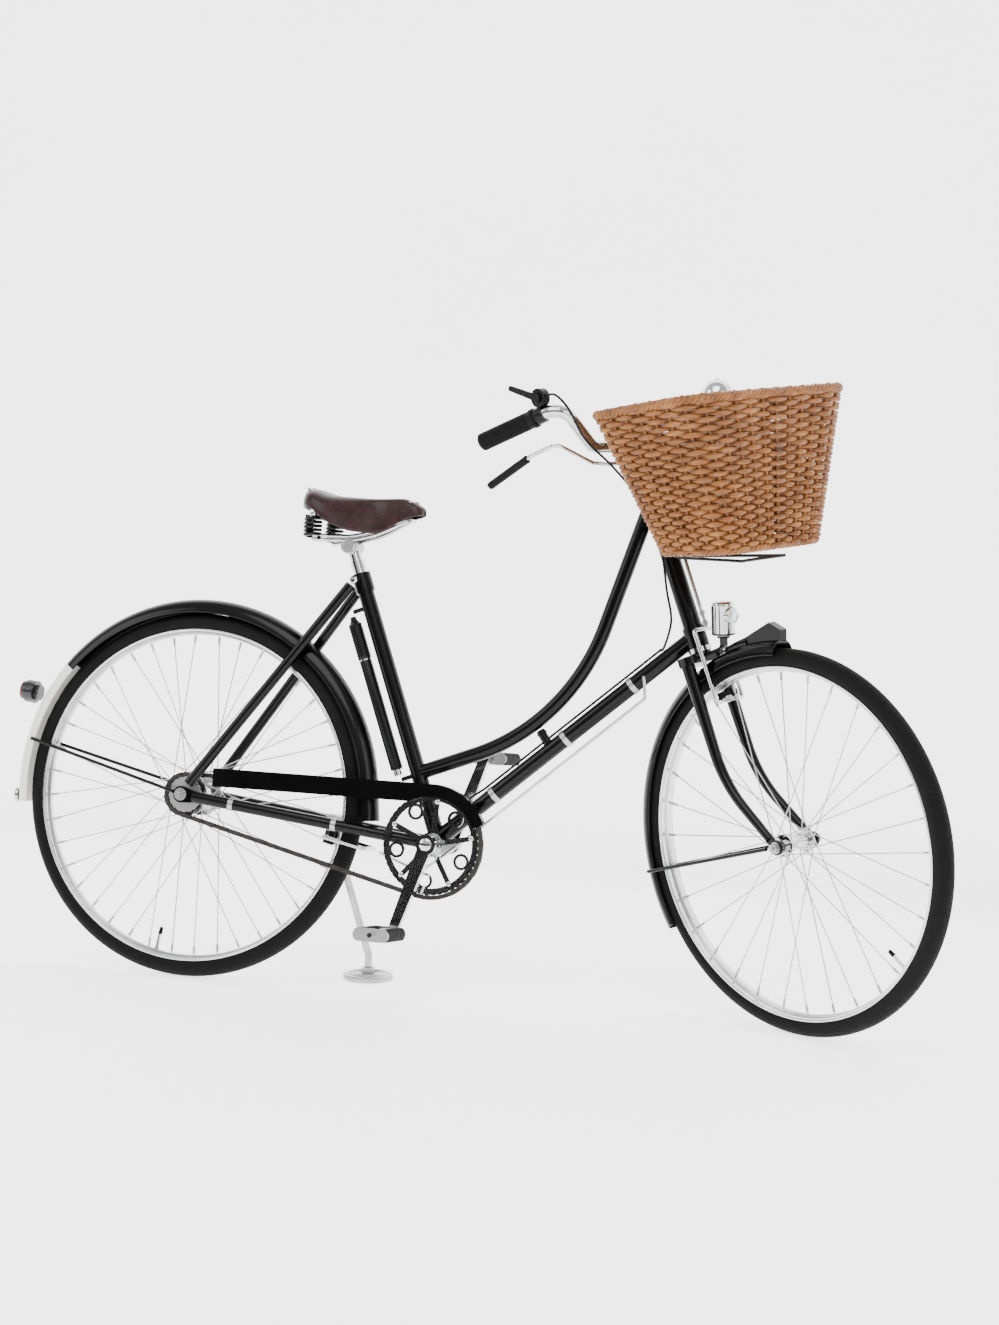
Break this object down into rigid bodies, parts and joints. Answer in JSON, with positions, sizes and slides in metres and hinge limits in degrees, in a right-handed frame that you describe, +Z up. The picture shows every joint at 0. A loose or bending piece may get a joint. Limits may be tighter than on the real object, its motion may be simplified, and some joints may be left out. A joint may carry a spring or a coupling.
{
  "type": "bicycle on stand",
  "caption": "Step-through roadster bicycle leaning on its folding side stand, with a wicker front basket, mudguards, chainguard, lamps and rod brakes.",
  "frame": {"origin": "on the ground, under the middle of the whole bicycle's box", "axes": "+X towards the front of the frame, +Y to the rider's left, +Z up; the bicycle leans 7 degrees towards +Y on its stand"},
  "size_m": [1.781, 0.6289, 1.1055],
  "materials": {
    "frame_enamel": "black stove enamel, high gloss",
    "guard_enamel": "black enamel on pressed steel, with a white tail on the rear guard",
    "bright_chrome": "polished chrome plate",
    "plain_steel": "zinc-plated steel",
    "rim_steel": "chromed steel rim, brake faces slightly worn",
    "tyre_rubber": "black rubber with fine ribs",
    "black_rubber": "moulded black rubber",
    "saddle_leather": "maroon-brown leather, polished by use",
    "wicker": "varnished split willow, golden brown",
    "red_lens": "red lens in a black body",
    "black_plastic": "black plastic",
    "roller_chain": "oiled steel roller chain"
  },
  "bodies": {
    "frame": {"head_tube": "frame_enamel", "headset_cups": "bright_chrome", "down_tube": "frame_enamel", "loop_tube": "frame_enamel", "seat_tube": "frame_enamel", "bottom_bracket_shell": "frame_enamel", "chain_stays": "frame_enamel", "seat_stays": "frame_enamel", "rear_axle": "plain_steel", "rear_mudguard": "guard_enamel", "rear_mudguard_stays": "guard_enamel", "rear_lamp": "red_lens", "chain": "roller_chain", "chainguard": "frame_enamel", "rear_brake_rods": "bright_chrome", "gear_cable": "black_plastic", "pump": "black_plastic", "kickstand_bracket": "plain_steel"},
    "saddle": {"seat_post": "bright_chrome", "saddle_top": "saddle_leather", "saddle_frame": "plain_steel"},
    "front": {"fork_crown": "frame_enamel", "fork_blades": "frame_enamel", "front_axle": "plain_steel", "front_mudguard": "guard_enamel", "front_mudguard_stays": "guard_enamel", "handlebar": "bright_chrome", "handlebar_stem": "bright_chrome", "grips": "black_rubber", "shifter_body": "black_plastic", "bell": "bright_chrome", "basket": "wicker", "basket_bracket": "frame_enamel", "head_lamp": "bright_chrome", "lamp_bracket": "plain_steel"},
    "front_wheel": {"front_tyre": "tyre_rubber", "front_rim": "rim_steel", "front_spokes": "plain_steel", "front_hub": "bright_chrome"},
    "rear_wheel": {"rear_tyre": "tyre_rubber", "rear_rim": "rim_steel", "rear_spokes": "plain_steel", "rear_hub": "bright_chrome"},
    "rear_sprocket": {"sprocket": "plain_steel"},
    "cranks": {"crankset": "bright_chrome", "chainwheel": "bright_chrome"},
    "right_pedal": {"right_pedal_frame": "plain_steel", "right_pedal_rubbers": "black_rubber"},
    "left_pedal": {"left_pedal_frame": "plain_steel", "left_pedal_rubbers": "black_rubber"},
    "right_lever": {"right_brake_lever": "bright_chrome"},
    "left_lever": {"left_brake_lever": "bright_chrome"},
    "front_brake": {"front_stirrup": "bright_chrome", "front_brake_blocks": "black_rubber"},
    "rear_brake": {"rear_stirrup": "bright_chrome", "rear_brake_blocks": "black_rubber"},
    "gear_trigger": {"shift_lever": "bright_chrome"},
    "bell_trigger": {"bell_lever": "bright_chrome"},
    "kickstand": {"kickstand_leg": "plain_steel", "kickstand_foot": "black_rubber"}
  },
  "joints": [
    {"name": "steering", "type": "hinge", "parent": "frame", "child": "front", "pos_m": [0.53867, -0.06643, 0.30083], "axis": [-0.3717, 0.1132, 0.9214], "range_deg": [-32, 92]},
    {"name": "front_wheel_spin", "type": "hinge", "parent": "front", "child": "front_wheel", "pos_m": [0.59777, -0.10099, 0.32892], "axis": [0.4733, 0.877, 0.0833], "continuous": true},
    {"name": "rear_wheel_spin", "type": "hinge", "parent": "frame", "child": "rear_wheel", "pos_m": [-0.52463, -0.06308, 0.32767], "axis": [0, 0.9925, -0.1219], "continuous": true},
    {"name": "crank_spin", "type": "hinge", "parent": "frame", "child": "cranks", "pos_m": [-0.04761, -0.06979, 0.27328], "axis": [0, 0.9925, -0.1219], "continuous": true},
    {"name": "sprocket_spin", "type": "hinge", "parent": "frame", "child": "rear_sprocket", "pos_m": [-0.52463, -0.06308, 0.32767], "axis": [0, 0.9925, -0.1219], "continuous": true},
    {"name": "right_pedal_spin", "type": "hinge", "parent": "cranks", "child": "right_pedal", "pos_m": [-0.10022, -0.08897, 0.11701], "axis": [0, 0.9925, -0.1219], "continuous": true},
    {"name": "left_pedal_spin", "type": "hinge", "parent": "cranks", "child": "left_pedal", "pos_m": [0.005, -0.0506, 0.42955], "axis": [0, 0.9925, -0.1219], "continuous": true},
    {"name": "right_lever_pull", "type": "hinge", "parent": "front", "child": "right_lever", "pos_m": [0.30631, -0.00387, 0.96269], "axis": [0.4733, 0.877, 0.0833], "range_deg": [0, 14], "stiffness_Nm_per_rad": 2, "springref_deg": -20.05},
    {"name": "left_lever_pull", "type": "hinge", "parent": "front", "child": "left_lever", "pos_m": [0.30631, -0.00387, 0.96269], "axis": [0.4733, 0.877, 0.0833], "range_deg": [0, 14], "stiffness_Nm_per_rad": 2, "springref_deg": -20.05},
    {"name": "front_brake_lift", "type": "slide", "parent": "front", "child": "front_brake", "axis": [-0.3717, 0.1132, 0.9214], "range_m": [0, 0.0055]},
    {"name": "rear_brake_pull", "type": "slide", "parent": "frame", "child": "rear_brake", "axis": [0.9782, -0.0253, -0.206], "range_m": [0, 0.0055]},
    {"name": "gear_change", "type": "hinge", "parent": "front", "child": "gear_trigger", "pos_m": [0.15893, -0.20564, 1.06067], "axis": [0.4733, 0.877, 0.0833], "range_deg": [-22, 12]},
    {"name": "bell_ring", "type": "hinge", "parent": "front", "child": "bell_trigger", "pos_m": [0.35592, 0.16735, 1.0693], "axis": [-0.0486, -0.0684, 0.9965], "range_deg": [0, 28], "stiffness_Nm_per_rad": 0.05, "springref_deg": -17.19},
    {"name": "saddle_height", "type": "slide", "parent": "frame", "child": "saddle", "axis": [-0.3636, 0.1135, 0.9246], "range_m": [-0.02, 0.06]},
    {"name": "stand_fold", "type": "hinge", "parent": "frame", "child": "kickstand", "pos_m": [-0.26261, -0.02698, 0.26894], "axis": [0, 0.9925, -0.1219], "range_deg": [0, 96]}
  ],
  "couplings": [
    {"joint": "sprocket_spin", "follows": "crank_spin", "ratio": 2.5556},
    {"joint": "front_brake_lift", "follows": "right_lever_pull", "m_per_rad": 0.022487},
    {"joint": "rear_brake_pull", "follows": "left_lever_pull", "m_per_rad": 0.022487}
  ]
}
